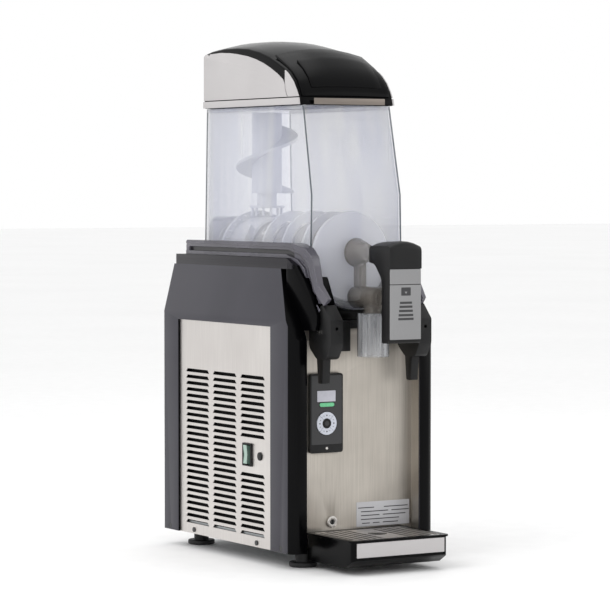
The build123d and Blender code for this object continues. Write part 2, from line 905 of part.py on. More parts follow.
def cam():
    x0 = cam_x - cam_width / 2
    x1 = cam_x + cam_width / 2
    shape = prism_x(cam_outline(), x0, x1, [2, 3, 4, 18, 12, 12, 14, 12])
    low = cam_z - cam_below
    rear = cam_y + 12
    side = cam_tail_width / 2
    tail = [(rear - 15, low + 8), (rear - 15, low), (rear - 12, cam_tail), (rear, cam_tail), (rear + 4, low),
            (rear + 4, low + 8)]
    shape = shape + prism_x(tail, cam_x - side, cam_x + side, [0, 3, 3, 3, 3, 0])
    front = cam_y - cam_reach
    shape = shape - rod_y(front - 1, front + 6, cam_x, cam_z + 6, cam_hole)
    return shape - rod_x(x0 - 1, x1 + 1, cam_y, cam_z, pin_radius + running_fit)


def cam_pin():
    return rod_x(nose_inner, nose_half(cam_y) - wall, cam_y, cam_z, pin_radius)


# Drip tray

def tray_plan(inset):
    side = tray_half - inset
    front = tray_front + inset
    rear = front_face - inset - play
    return [(-side, rear), (side, rear), (side, front), (-side, front)]


def drip_tray():
    rim = prism_z(tray_plan(0), tray_rim - 3, tray_rim, [2, 2, tray_corner, tray_corner])
    inner_corner = tray_corner - tray_lip
    tub = prism_z(tray_plan(tray_lip), tray_base, tray_rim, [2, 2, inner_corner, inner_corner])
    front_low = prism_x([(tray_front - 1, tray_base - 1), (tray_front + 26, tray_base - 1),
                         (tray_front - 1, tray_base + 15)], -tray_half - 1, tray_half + 1)
    tub = tub - front_low
    floor = tray_base + tray_wall
    corner = inner_corner / 2
    inner = prism_z(tray_plan(tray_lip + tray_wall), floor, tray_rim + 1, [1, 1, corner, corner])
    low = front_low.moved(Location((0, tray_wall, tray_wall)))
    seat = prism_z(tray_plan(tray_lip + 1), tray_rim - grid_thickness, tray_rim + 1, [2, 2, 5, 5])
    return rim + tub - (inner - low) - seat


def tray_strip():
    front = tray_front + tray_lip
    edge = tray_half - tray_corner - 1
    return block(-edge, edge, front - 2.5, front, tray_base + 17, tray_rim - 4)


def tray_grid():
    plate = prism_z(tray_plan(tray_lip + 1 + play), tray_rim - grid_thickness, tray_rim, [2, 2, 5, 5])
    middle = (front_face + tray_front) / 2
    for side in (-1, 1):
        for k in range(grid_slots):
            x = side * (24 + grid_pitch * k)
            bar = block(x - 1.6, x + 1.6, tray_front + 16, front_face - 18, 0, 90)
            plate = plate - bar
    return plate - rod_z(0, 90, 0, middle, 13)


# Control panel, lock and switch

def display_box(grow):
    front = front_face - control_depth
    return block(display_left - grow, display_right + grow, front + 0.4, front + 2.5 + grow,
                 display_base - grow, display_top + grow)


def control_housing():
    front = front_face - control_depth
    face = block(panel_left, panel_right, front, front_face, control_base, control_top)
    face = fillet(face.edges().filter_by(Axis.Y), 4)
    box = block(panel_left + 4, panel_right - 4, front_face, front_face + 24,
                control_base + 4, control_top - 4)
    shape = face + box
    shape = shape - rod_y(front - 1, front + 4, wheel_x, wheel_z, wheel_radius + play)
    shape = shape - display_box(0)
    return shape - block(display_left, display_right, front - 1, front + 1, display_base, display_top)


def wheel_button(index):
    front = front_face - control_depth - 1.2
    ring = rod_y(front, front + 3, wheel_x, wheel_z, wheel_radius)
    ring = ring - rod_y(front - 1, front + 4, wheel_x, wheel_z, button_radius + play)
    turn = radians(90 * index)
    reach = 2 * wheel_radius
    gap = 0.3
    left = turn + radians(45)
    right = turn - radians(45)
    points = [(gap * 1.5 * cos(turn), gap * 1.5 * sin(turn)),
              (reach * cos(right) + gap * cos(turn), reach * sin(right) + gap * sin(turn)),
              (reach * cos(left) + gap * cos(turn), reach * sin(left) + gap * sin(turn))]
    points = [(wheel_x + x, wheel_z + z) for x, z in points]
    return ring & prism_y(points, front - 1, front + 4)


def centre_button():
    front = front_face - control_depth - 1.6
    return rod_y(front, front + 3.4, wheel_x, wheel_z, button_radius)


def display_lens():
    return display_box(0)


def status_light():
    front = front_face - control_depth
    low = light_z - light_height / 2
    bar = block(light_left, light_right, front - 0.6, front, low, low + light_height)
    return fillet(bar.edges().filter_by(Axis.Y), light_height / 2 - 0.1)


def lock_barrel():
    head = rod_y(front_face - 3, front_face, lock_x, lock_z, lock_radius + 3)
    body = rod_y(front_face, front_face + 14, lock_x, lock_z, lock_radius)
    return head + body - rod_y(front_face - 4, front_face + 12, lock_x, lock_z, lock_radius - 2 + running_fit)


def lock_plug():
    plug = rod_y(front_face - 3, front_face + 11, lock_x, lock_z, lock_radius - 2)
    return plug - block(lock_x - 0.6, lock_x + 0.6, front_face - 4, front_face + 4, lock_z - 3, lock_z + 3)


def rating_plate():
    return block(plate_left, plate_right, front_face - 0.5, front_face, plate_base, plate_top)


def switch_body(depth):
    wide = switch_width / 2 - 2
    tall = switch_height / 2 - 2
    return block(-half, -panel_face + depth, switch_y - wide, switch_y + wide,
                 switch_z - tall, switch_z + tall)


def rocker_axle(radius, reach):
    return rod_y(switch_y - reach, switch_y + reach, rocker_x, switch_z, radius)


def switch_bezel():
    out = -panel_face - 2.6
    tall = switch_height / 2
    wide = switch_width / 2
    bezel = block(out, -panel_face, switch_y - wide, switch_y + wide, switch_z - tall, switch_z + tall)
    bezel = fillet(bezel.edges().filter_by(Axis.X), 2)
    body = switch_body(16) - block(-half - 1, -panel_face, -200, 200, 0, 400)
    room = block(-half - 1, -panel_face + 13, switch_y - wide + 5.5, switch_y + wide - 5.5,
                 switch_z - tall + 5.5, switch_z + tall - 5.5)
    return bezel + body - room - rocker_axle(rocker_pivot + running_fit, wide - 3.5)


def switch_rocker():
    face = -panel_face - 1.2
    tall = switch_height / 2 - 7
    wide = switch_width / 2 - 5.9
    points = [(switch_z - tall, face + 6), (switch_z - tall, face), (switch_z, face + 1.8),
              (switch_z + tall, face - 1.8), (switch_z + tall, face + 4), (switch_z, face + 9)]
    plane = Plane(origin=(0, switch_y - wide, 0), x_dir=(0, 0, 1), z_dir=(0, 1, 0))
    rocker = extrude(plane * make_face(Polyline(*points, close=True)), amount=2 * wide)
    return rocker + rocker_axle(rocker_pivot, wide + 1.6)


def side_fitting():
    head = rod_x(-panel_face - 2, -panel_face, fitting_y, switch_z, fitting_radius + 1.5)
    return head + rod_x(-panel_face, -panel_face + 14, fitting_y, switch_z, fitting_radius)


# Refrigeration and electrics


def compressor():
    low = pan_floor + sheet
    reach = compressor_radius + 4
    base = block(compressor_x - reach, compressor_x + reach, compressor_y - 50, compressor_y + 50,
                 low, low + 4)
    can = rod_z(low + 4, low + compressor_height, compressor_x, compressor_y, compressor_radius)
    can = fillet(can.edges().filter_by(GeomType.CIRCLE).group_by(Axis.Z)[-1], compressor_radius / 2)
    return base + can


def condenser():
    x0 = condenser_x
    x1 = condenser_x + condenser_depth
    low = pan_floor + 20
    front = fan_y - condenser_half
    rear = fan_y + condenser_half
    shape = block(x0, x1, front, rear, low, low + 4)
    shape = shape + block(x0, x1, front, rear, condenser_top - 4, condenser_top)
    for k in range(int(2 * condenser_half / fin_pitch) + 1):
        y = front + 1 + fin_pitch * k
        shape = shape + block(x0, x1, y, y + fin_thickness, low, condenser_top)
    return shape


def fan_shroud():
    x0 = condenser_x + condenser_depth
    plate = block(x0, x0 + 2, fan_y - condenser_half, fan_y + condenser_half, pan_floor + 20, condenser_top)
    ring = rod_x(x0, x0 + 16, fan_y, fan_z, fan_radius + 6)
    return plate + ring - rod_x(x0 - 1, x0 + 20, fan_y, fan_z, fan_radius + 3)


def fan_blade():
    x0 = condenser_x + condenser_depth + 2
    hub = rod_x(x0, x0 + 16, fan_y, fan_z, fan_hub)
    for k in range(5):
        blade = Pos(x0 + 8, 0, 0) * Rot(0, 0, 24) * Box(2, 30, fan_radius - 12)
        blade = blade.moved(Location((0, 0, 12 + (fan_radius - 12) / 2)))
        hub = hub + Pos(0, fan_y, fan_z) * Rot(72 * k, 0, 0) * blade
    return hub - rod_x(x0 + 4, x0 + 20, fan_y, fan_z, fan_shaft + running_fit)


def fan_motor():
    x0 = condenser_x + condenser_depth + 20
    body = rod_x(x0, x0 + 38, fan_y, fan_z, fan_motor_radius)
    shaft = rod_x(x0 - 13, x0, fan_y, fan_z, fan_shaft)
    post = block(x0 + 4, x0 + 20, fan_y - 14, fan_y + 14, pan_floor + sheet, fan_z - 20)
    return body + shaft + post


def pipe(points, bend, radius):
    path = FilletPolyline(*points, radius=bend)
    start = Plane(origin=path @ 0, z_dir=path % 0)
    return sweep(start * Circle(radius), path=path)


def refrigerant_pipes():
    top = pan_floor + sheet + compressor_height
    x = compressor_x
    high = condenser_top + 34
    rear = bowl_rear - 8
    suction = [(x, compressor_y + 20, top), (x, compressor_y + 20, high), (20, rear, high),
               (20, rear, axis_height - bowl_half - 12)]
    low = condenser_top + 14
    coil = condenser_x + condenser_depth / 2
    far = fan_y - 40
    hot = [(x, compressor_y - 20, top), (x, compressor_y - 20, low), (coil, far, low),
           (coil, far, condenser_top)]
    wide = pipe(suction, 3 * suction_radius, suction_radius)
    return [wide, pipe(hot, 2 * discharge_radius, discharge_radius)]


def filter_dryer():
    top = dryer_base + dryer_length
    body = rod_z(dryer_base, top, dryer_x, dryer_y, 11)
    ends = rod_z(dryer_base - 10, dryer_base, dryer_x, dryer_y, 4) + rod_z(top, top + 10, dryer_x, dryer_y, 4)
    return body + ends


def control_board():
    y0 = front_face + board_gap
    board = block(panel_left, panel_right, y0, y0 + 1.6, control_base, control_top)
    for k in range(4):
        z = control_base + 15 + 26 * k
        board = board + block(panel_left + 8, panel_left + 26, y0 + 1.6, y0 + 14, z, z + 16)
    return board


os.makedirs("parts", exist_ok=True)
moulding = side_moulding()
lid_panel = lid_side()
right_cam = cam()
screws = case_screws()

save("base_pan", base_pan())
save("left_side_moulding", moulding)
save("right_side_moulding", mirrored(moulding))
save("left_side_panel", side_panel(True))
save("right_side_panel", mirrored(side_panel(False)))
save("front_panel", front_panel())
save("rear_panel", rear_panel())
save("top_deck", top_deck())
save("bowl_collar", bowl_collar())
save("feet", group(*[foot(x, y) for x, y in foot_places()]))
save("cable_gland", cable_gland())
save("case_screws", group(*screws, *[mirrored(screw) for screw in screws]))
save("bowl", bowl())
save("evaporator_drum", evaporator_drum())
save("drum_seal", drum_seal())
save("gearmotor", gearmotor())
save("drive_shaft", drive_shaft())
save("auger", auger())
save("agitator", agitator())
save("lid_cover", lid_cover())
save("lid_left_panel", lid_panel)
save("lid_right_panel", mirrored(lid_panel))
save("lid_trim", lid_trim())
save("tap_body", tap_body())
save("tap_spout", tap_spout())
save("tap_piston", tap_piston())
save("piston_rings", group(*piston_rings()))
save("tap_lever", tap_lever())
save("lever_face", lever_face())
save("lever_pin", lever_pin())
save("lever_spring", lever_spring())
save("drip_chute", drip_chute())
save("cam_left", mirrored(right_cam))
save("cam_right", right_cam)
save("cam_pins", group(cam_pin(), mirrored(cam_pin())))
save("drip_tray", drip_tray())
save("tray_strip", tray_strip())
save("tray_grid", tray_grid())
save("control_housing", control_housing())
save("display_lens", display_lens())
save("status_light", status_light())
for index, name in enumerate(("right", "up", "left", "down")):
    save("button_" + name, wheel_button(index))
save("button_centre", centre_button())
save("lock_barrel", lock_barrel())
save("lock_plug", lock_plug())
save("rating_plate", rating_plate())
save("switch_bezel", switch_bezel())
save("switch_rocker", switch_rocker())
save("side_fitting", side_fitting())
save("compressor", compressor())
save("condenser", condenser())
save("fan_shroud", fan_shroud())
save("fan_blade", fan_blade())
save("fan_motor", fan_motor())
save("refrigerant_pipes", group(*refrigerant_pipes()))
save("filter_dryer", filter_dryer())
save("control_board", control_board())
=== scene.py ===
import bpy
import json
import math
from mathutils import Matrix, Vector


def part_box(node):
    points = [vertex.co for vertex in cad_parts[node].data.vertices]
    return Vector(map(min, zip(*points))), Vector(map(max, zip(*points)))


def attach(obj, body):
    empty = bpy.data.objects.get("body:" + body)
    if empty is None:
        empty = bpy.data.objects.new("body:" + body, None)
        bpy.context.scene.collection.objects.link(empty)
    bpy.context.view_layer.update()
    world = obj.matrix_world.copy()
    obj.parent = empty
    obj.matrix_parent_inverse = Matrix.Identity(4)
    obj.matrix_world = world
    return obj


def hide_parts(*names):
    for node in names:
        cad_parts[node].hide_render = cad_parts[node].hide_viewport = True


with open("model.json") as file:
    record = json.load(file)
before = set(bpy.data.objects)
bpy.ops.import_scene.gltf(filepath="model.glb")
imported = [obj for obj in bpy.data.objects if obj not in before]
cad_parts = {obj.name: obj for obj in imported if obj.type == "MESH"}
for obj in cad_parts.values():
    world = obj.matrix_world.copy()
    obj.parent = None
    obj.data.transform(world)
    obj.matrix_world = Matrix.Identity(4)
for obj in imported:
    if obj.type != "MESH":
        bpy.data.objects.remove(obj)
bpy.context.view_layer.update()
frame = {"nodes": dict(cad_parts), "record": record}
nodes = frame["nodes"]
mm = 0.001
print("frame loaded")


# small helpers

def clearSelection():
    for item in list(bpy.context.selected_objects):
        item.select_set(False)


def makeActive(piece):
    clearSelection()
    piece.select_set(True)
    bpy.context.view_layer.objects.active = piece


def editAll(piece):
    makeActive(piece)
    bpy.ops.object.mode_set(mode="EDIT")
    bpy.ops.mesh.select_mode(type="VERT")
    bpy.ops.mesh.select_all(action="SELECT")


def objectMode():
    bpy.ops.object.mode_set(mode="OBJECT")


def applyModifier(piece, kind, settings):
    makeActive(piece)
    modifier = piece.modifiers.new(kind.lower(), kind)
    for key, value in settings.items():
        setattr(modifier, key, value)
    bpy.ops.object.modifier_apply(modifier=modifier.name)


def bevelEdges(piece, width, segments=2, angle=35):
    applyModifier(piece, "BEVEL", {"width": width * mm, "segments": segments, "limit_method": "ANGLE",
                                   "angle_limit": math.radians(angle), "use_clamp_overlap": True,
                                   "miter_outer": "MITER_ARC"})


def smooth(piece, angle=32):
    makeActive(piece)
    bpy.ops.object.shade_smooth_by_angle(angle=math.radians(angle))


def placed(axis, along, point):
    first, second = point
    if axis == "x":
        return Vector((along, first, second)) * mm
    if axis == "y":
        return Vector((first, along, second)) * mm
    return Vector((first, second, along)) * mm


def outward(piece):
    editAll(piece)
    bpy.ops.mesh.remove_doubles(threshold=1e-6)
    bpy.ops.mesh.normals_make_consistent(inside=False)
    objectMode()


def outlinePiece(name, points, axis, low, high):
    # a disc gets one corner for each outline point, and its face is pulled out to a solid
    clearSelection()
    bpy.ops.mesh.primitive_circle_add(vertices=len(points), radius=0.01, fill_type="NGON")
    piece = bpy.context.active_object
    piece.name = name
    for vertex, point in zip(piece.data.vertices, points):
        vertex.co = placed(axis, low, point)
    shift = placed(axis, high, (0, 0)) - placed(axis, low, (0, 0))
    editAll(piece)
    bpy.ops.mesh.extrude_region_move(TRANSFORM_OT_translate={"value": shift})
    objectMode()
    outward(piece)
    return piece


def boxPiece(name, low, high, bevel=0.0, segments=2):
    clearSelection()
    middle = (Vector(low) + Vector(high)) / 2 * mm
    size = (Vector(high) - Vector(low)) * mm
    bpy.ops.mesh.primitive_cube_add(size=1, location=middle)
    piece = bpy.context.active_object
    piece.name = name
    piece.scale = size
    bpy.ops.object.transform_apply(location=True, rotation=True, scale=True)
    if bevel:
        bevelEdges(piece, bevel, segments)
    return piece


def turnedPiece(name, profile, axis, centre, steps=64):
    # profile points are (radius, along the axis)
    clearSelection()
    bpy.ops.mesh.primitive_circle_add(vertices=len(profile), radius=0.01, fill_type="NOTHING")
    piece = bpy.context.active_object
    piece.name = name
    turnAxis = {"x": Vector((1, 0, 0)), "y": Vector((0, 1, 0)), "z": Vector((0, 0, 1))}[axis]
    side = {"x": Vector((0, 0, 1)), "y": Vector((1, 0, 0)), "z": Vector((1, 0, 0))}[axis]
    for vertex, (radius, along) in zip(piece.data.vertices, profile):
        vertex.co = (Vector(centre) + side * radius + turnAxis * along) * mm
    editAll(piece)
    bpy.ops.mesh.spin(steps=steps, angle=2 * math.pi, center=Vector(centre) * mm, axis=turnAxis)
    bpy.ops.mesh.select_all(action="SELECT")
    bpy.ops.mesh.remove_doubles(threshold=2e-6)
    bpy.ops.mesh.normals_make_consistent(inside=False)
    objectMode()
    return piece


def rodPiece(name, radius, axis, centre, low, high, bevel=0.4, steps=32):
    profile = [(0, low), (radius - bevel, low), (radius, low + bevel),
               (radius, high - bevel), (radius - bevel, high), (0, high)]
    return turnedPiece(name, profile, axis, centre, steps)


def roundCorners(points, radius, steps=5):
    # every corner of an outline becomes an arc, drawn with a few points
    result = []
    count = len(points)
    for index in range(count):
        here = Vector(points[index])
        before = Vector(points[index - 1]) - here
        after = Vector(points[(index + 1) % count]) - here
        size = radius[index] if isinstance(radius, list) else radius
        if size == 0:
            result.append(tuple(here))
            continue
        angle = before.angle(after)
        reach = min(size / math.tan(angle / 2), before.length * 0.48, after.length * 0.48)
        start = here + before.normalized() * reach
        end = here + after.normalized() * reach
        for step in range(steps + 1):
            share = step / steps
            point = start * (1 - share) ** 2 + here * 2 * share * (1 - share) + end * share ** 2
            result.append(tuple(point))
    return result


def joined(name, pieces):
    clearSelection()
    for item in pieces:
        item.select_set(True)
    bpy.context.view_layer.objects.active = pieces[0]
    if len(pieces) > 1:
        bpy.ops.object.join()
    pieces[0].name = name
    return pieces[0]


def cutAway(piece, cutter):
    applyModifier(piece, "BOOLEAN", {"operation": "DIFFERENCE", "solver": "EXACT", "object": cutter})
    bpy.data.objects.remove(cutter)


def softened(node, width, segments=2, angle=32):
    # a merged copy of a frame part with its sharp edges rounded
    source = nodes[node]
    piece = source.copy()
    piece.data = source.data.copy()
    piece.parent = None
    for key in list(piece.keys()):
        del piece[key]
    piece.name = node + "Soft"
    piece.data.materials.clear()
    bpy.context.scene.collection.objects.link(piece)
    editAll(piece)
    bpy.ops.mesh.customdata_custom_splitnormals_clear()
    bpy.ops.mesh.remove_doubles(threshold=2e-6)
    bpy.ops.mesh.dissolve_limited(angle_limit=math.radians(1.0))
    objectMode()
    if width:
        bevelEdges(piece, width, segments, angle)
    smooth(piece)
    return piece


def finishPiece(piece, material, body, replaced=()):
    piece.data.materials.clear()
    piece.data.materials.append(material)
    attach(piece, body)
    if replaced:
        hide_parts(*replaced)
    return piece


# materials

def linearColour(code):
    channels = [int(code[k:k + 2], 16) / 255 for k in (1, 3, 5)]
    linear = [c / 12.92 if c <= 0.04045 else ((c + 0.055) / 1.055) ** 2.4 for c in channels]
    return (*linear, 1.0)


def addNode(tree, kind, settings=None, links=None):
    node = tree.nodes.new(kind)
    for key, value in (settings or {}).items():
        if key in node.inputs.keys():
            node.inputs[key].default_value = value
        else:
            setattr(node, key, value)
    for key, source in (links or {}).items():
        tree.links.new(source, node.inputs[key])
    return node


def startMaterial(name, settings):
    material = bpy.data.materials.new(name)
    material.use_nodes = True
    tree = material.node_tree
    shader = tree.nodes["Principled BSDF"]
    for key, value in settings.items():
        shader.inputs[key].default_value = value
    return material, tree, shader


def grained(name, settings, dark, light, spacing, stretch, bump, roughRange, cloud=90):
    # colour, roughness and a fine relief from two noises; spacing is the grain width in millimetres
    material, tree, shader = startMaterial(name, settings)
    place = addNode(tree, "ShaderNodeTexCoord")
    scaled = addNode(tree, "ShaderNodeMapping", {"Scale": stretch}, {"Vector": place.outputs["Object"]})
    fine = addNode(tree, "ShaderNodeTexNoise", {"Scale": 1000 / spacing, "Detail": 3.0},
                   {"Vector": scaled.outputs["Vector"]})
    broad = addNode(tree, "ShaderNodeTexNoise", {"Scale": 1000 / cloud, "Detail": 2.0},
                    {"Vector": place.outputs["Object"]})
    both = addNode(tree, "ShaderNodeMix", {"data_type": "FLOAT", "Factor": 0.45},
                   {"A": fine.outputs["Fac"], "B": broad.outputs["Fac"]})
    tint = addNode(tree, "ShaderNodeValToRGB", links={"Fac": both.outputs["Result"]})
    tint.color_ramp.elements[0].position = 0.3
    tint.color_ramp.elements[0].color = linearColour(dark)
    tint.color_ramp.elements[1].position = 0.7
    tint.color_ramp.elements[1].color = linearColour(light)
    tree.links.new(tint.outputs["Color"], shader.inputs["Base Color"])
    rough = addNode(tree, "ShaderNodeMapRange", {"To Min": roughRange[0], "To Max": roughRange[1]},
                    {"Value": fine.outputs["Fac"]})
    tree.links.new(rough.outputs["Result"], shader.inputs["Roughness"])
    relief = addNode(tree, "ShaderNodeBump", {"Strength": bump, "Distance": spacing * 0.15 * mm},
                     {"Height": fine.outputs["Fac"]})
    tree.links.new(relief.outputs["Normal"], shader.inputs["Normal"])
    return material


def clearPlastic(name, tint, edge, faceAlpha, edgeAlpha, roughness=0.04, reflectionStreaks=None):
    # a polished sheet shows little from the front; its colour is painted darker where it is seen edge on, a
    # painted shade for the light that the sheet turns away there
    material, tree, shader = startMaterial(name, {"IOR": 1.58, "Specular IOR Level": 0.5})
    facing = addNode(tree, "ShaderNodeLayerWeight", {"Blend": 0.35})
    colour = addNode(tree, "ShaderNodeValToRGB", links={"Fac": facing.outputs["Facing"]})
    colour.color_ramp.elements[0].color = linearColour(tint)
    colour.color_ramp.elements[1].color = linearColour(edge)
    if reflectionStreaks:
        # painted reflections: upright bright and dull streaks, like the reflections that a bent sheet shows
        dull, bright, width = reflectionStreaks
        position = addNode(tree, "ShaderNodeTexCoord")
        upright = addNode(tree, "ShaderNodeMapping", {"Scale": (1, 1, 0.04)},
                          {"Vector": position.outputs["Object"]})
        noise = addNode(tree, "ShaderNodeTexNoise", {"Scale": 1000 / width, "Detail": 2.0},
                        {"Vector": upright.outputs["Vector"]})
        bands = addNode(tree, "ShaderNodeValToRGB", links={"Fac": noise.outputs["Fac"]})
        bands.color_ramp.elements[0].position = 0.38
        bands.color_ramp.elements[0].color = linearColour(dull)
        bands.color_ramp.elements[1].position = 0.62
        bands.color_ramp.elements[1].color = linearColour(bright)
        both = addNode(tree, "ShaderNodeMix", {"data_type": "RGBA", "blend_type": "MULTIPLY", "Factor": 0.8},
                       {"A": colour.outputs["Color"], "B": bands.outputs["Color"]})
        tree.links.new(both.outputs["Result"], shader.inputs["Base Color"])
    else:
        tree.links.new(colour.outputs["Color"], shader.inputs["Base Color"])
    alpha = addNode(tree, "ShaderNodeMapRange", {"To Min": faceAlpha, "To Max": edgeAlpha},
                    {"Value": facing.outputs["Facing"]})
    tree.links.new(alpha.outputs["Result"], shader.inputs["Alpha"])
    place = addNode(tree, "ShaderNodeTexCoord")
    haze = addNode(tree, "ShaderNodeTexNoise", {"Scale": 1000 / 60, "Detail": 2.0},
                   {"Vector": place.outputs["Object"]})
    rough = addNode(tree, "ShaderNodeMapRange", {"To Min": roughness * 0.6, "To Max": roughness * 1.8},
                    {"Value": haze.outputs["Fac"]})
    tree.links.new(rough.outputs["Result"], shader.inputs["Roughness"])
    return material


even = (1, 1, 1)
print("materials")
# ABS, moulded with a fine spark texture: satin, very dark grey
mouldedAbs = grained("mouldedAbs", {"IOR": 1.53, "Specular IOR Level": 0.3}, "#323138", "#3c3b42", 0.8, even,
                     0.10, (0.40, 0.52))
# ABS, polished mould: deep black with a clear shine
polishedAbs = grained("polishedAbs", {"IOR": 1.53, "Specular IOR Level": 0.08}, "#020203", "#050506", 3.0,
                      even, 0.02, (0.16, 0.26))
# nylon, moulded: dull black for levers and cams
mouldedNylon = grained("mouldedNylon", {"IOR": 1.53, "Specular IOR Level": 0.25}, "#0b0b0c", "#141415", 0.7,
                       even, 0.12, (0.36, 0.5))
# stainless sheet, brushed upright: streaks one above the other, drawn wider than real so that they show
brushedFront = grained("brushedFront", {"Metallic": 1.0, "Anisotropic": 0.2}, "#a8a29a", "#c4beb5",
                       0.9, (1, 1, 0.012), 0.06, (0.38, 0.50), cloud=70)
brushedSide = grained("brushedSide", {"Metallic": 1.0, "Anisotropic": 0.4}, "#cbc6c3", "#dedad6",
                      0.8, (1, 1, 0.012), 0.04, (0.30, 0.42), cloud=120)
# stainless sheet, polished: lock, screws, shaft and drum
polishedSteel = grained("polishedSteel", {"Metallic": 1.0}, "#bdbab6", "#d2cfcb", 1.0, even, 0.02,
                        (0.14, 0.24))
# zinc coated sheet: pale grey with soft blotches
zincSheet = grained("zincSheet", {"Metallic": 0.9}, "#8f9294", "#a9acad", 9.0, even, 0.03, (0.35, 0.5))
# acetal, machined and moulded: plain white with a soft shine
whiteAcetal = grained("whiteAcetal", {"IOR": 1.48}, "#d0d1d8", "#dddee4", 2.0, even, 0.04, (0.30, 0.42))
# silver lacquer on plastic: fine flake, satin
silverLacquer = grained("silverLacquer", {"Metallic": 0.15, "IOR": 1.5}, "#b4b1b1", "#bebbbb",
                        0.7, even, 0.04, (0.34, 0.46))
# grey polycarbonate face, moulded matt
greyFace = grained("greyFace", {"IOR": 1.53}, "#828283", "#8b8b8c", 0.8, even, 0.08, (0.42, 0.55))
# ink, screen printed: flat dark grey
darkInk = grained("darkInk", {"IOR": 1.5}, "#2c2c2e", "#363638", 1.0, even, 0.03, (0.5, 0.6))
# rubber, moulded
mouldedRubber = grained("mouldedRubber", {"IOR": 1.52}, "#0e0e0f", "#18181a", 1.0, even, 0.2, (0.55, 0.7))
# silicone seal
whiteSilicone = grained("whiteSilicone", {"IOR": 1.43}, "#c9c7c1", "#d6d4ce", 2.0, even, 0.05, (0.5, 0.6))
# keypad: polyester film over black
keypadFilm = grained("keypadFilm", {"IOR": 1.57}, "#1b1b1d", "#232325", 0.6, even, 0.08, (0.34, 0.45))
# ABS keys, moulded: pale grey and satin
keyPale = grained("keyPale", {"IOR": 1.5}, "#c4c8d2", "#d0d4de", 1.0, even, 0.05, (0.40, 0.5))
# acrylic window, polished: a pale sheet with a clear shine
displayGlass = grained("displayGlass", {"IOR": 1.5, "Coat Weight": 0.5}, "#b9b9c3", "#c4c4cd", 4.0, even, 0.0,
                       (0.12, 0.2))
# acrylic light pipe, moulded: soft green
greenPipe = grained("greenPipe", {"IOR": 1.5}, "#5fbb86", "#7fd6a0", 2.0, even, 0.02, (0.25, 0.35))
# polycarbonate rocker, moulded glossy green; one half is painted pale as a painted highlight where it faces
# the light, the other dark as painted shade
rockerPale = grained("rockerPale", {"IOR": 1.49, "Coat Weight": 0.2}, "#93ada1", "#a2b9ae", 2.0, even, 0.02,
                     (0.2, 0.3))
rockerGreen = grained("rockerGreen", {"IOR": 1.49, "Specular IOR Level": 0.2}, "#072c20", "#0b3a2a", 2.0,
                      even, 0.02, (0.15, 0.25))
# polyester label, printed: pale grey with a slight sheen
platePaper = grained("platePaper", {"IOR": 1.5}, "#b7b7ba", "#c2c2c5", 1.5, even, 0.02, (0.35, 0.45))
# copper tube, drawn and bent: warm and slightly dull
copperTube = grained("copperTube", {"Metallic": 1.0}, "#a8643f", "#c27a52", 5.0, even, 0.02, (0.25, 0.4))
# enamel, sprayed: black with a thin gloss
blackEnamel = grained("blackEnamel", {"IOR": 1.5, "Coat Weight": 0.2}, "#0b0b0c", "#141415", 2.0, even, 0.05,
                      (0.3, 0.4))
# matt black, a painted shade: the condenser and the sheet behind the louvres are black so that the inside of
# the case reads dark
shadeBlack = grained("shadeBlack", {"IOR": 1.5, "Specular IOR Level": 0.1}, "#040405", "#070708", 2.0, even,
                    0.02, (0.6, 0.75))
# glass fibre board, lacquered: dark green
boardGreen = grained("boardGreen", {"IOR": 1.5}, "#12452a", "#1a5636", 3.0, even, 0.05, (0.4, 0.5))
# stainless strip, brushed along: dull and warm
taupeStrip = grained("taupeStrip", {"Metallic": 0.8}, "#746c65", "#877f78", 0.7, (0.02, 1, 1), 0.04,
                     (0.3, 0.42))
# clear polycarbonate: bowl, spout and the smoky collar
bowlClear = clearPlastic("bowlClear", "#f8f9ff", "#50555a", 0.048, 0.9, reflectionStreaks=("#dfe2f3", "#ffffff", 22))
bowlCornerShade = clearPlastic("bowlCornerShade", "#5d656b", "#1d2225", 0.86, 0.98)
spoutClear = clearPlastic("spoutClear", "#f2f4f7", "#2d2e33", 0.30, 0.95, reflectionStreaks=("#77787c", "#ffffff", 7))
tapClear = clearPlastic("tapClear", "#8d8780", "#211f1d", 0.40, 0.96)
# ABS, polished, nearly black with a lavender tint: the deck
deckAbs = grained("deckAbs", {"IOR": 1.53, "Specular IOR Level": 0.22}, "#141218", "#1c1a20", 3.0,
                  even, 0.02, (0.14, 0.22))
# painted shade: polycarbonate seen in a deep groove gets a dark opaque material, darker than the smoky collar
# round it
collarGrooveShade = grained("collarGrooveShade", {"IOR": 1.58, "Specular IOR Level": 0.4}, "#1b1a1d", "#262428", 4.0,
                     even, 0.02, (0.15, 0.3))
collarSmoke = clearPlastic("collarSmoke", "#8e8c94", "#1d1c20", 0.78, 0.97,
                           reflectionStreaks=("#8b8992", "#bcbac4", 60))


# pieces that keep the frame's own shape and get rounded edges

softPieces = [
    ("front_panel", brushedFront, 0.3), ("base_pan", zincSheet, 0.3), ("rear_panel", brushedSide, 0.0),
    ("feet", mouldedRubber, 0.5), ("cable_gland", mouldedNylon, 0.4),
    ("drip_chute", mouldedNylon, 1.0), ("drip_tray", polishedAbs, 0.8), ("tray_strip", silverLacquer, 0.8),
    ("control_housing", mouldedNylon, 0.8), ("lock_barrel", polishedSteel, 0.5),
    ("lock_plug", blackEnamel, 0.2), ("side_fitting", mouldedNylon, 0.5),
    ("tap_piston", tapClear, 0.4), ("tap_body", tapClear, 0.8), ("tap_spout", spoutClear, 1.0),
    ("cam_left", mouldedNylon, 1.2), ("cam_right", mouldedNylon, 1.2), ("display_lens", displayGlass, 0.2),
    ("status_light", greenPipe, 0.2), ("rating_plate", platePaper, 0.1),
    ("bowl", bowlClear, 2.6), ("lid_trim", taupeStrip, 0.2), ("auger", whiteAcetal, 0.0),
    ("agitator", whiteAcetal, 0.0),
]
bodyOf = {name: body for body, names in frame["record"]["behaviour"]["bodies"].items() for name in names}
for name, material, width in softPieces:
    piece = softened(name, width, 3)
    finishPiece(piece, material, bodyOf[name], [name])
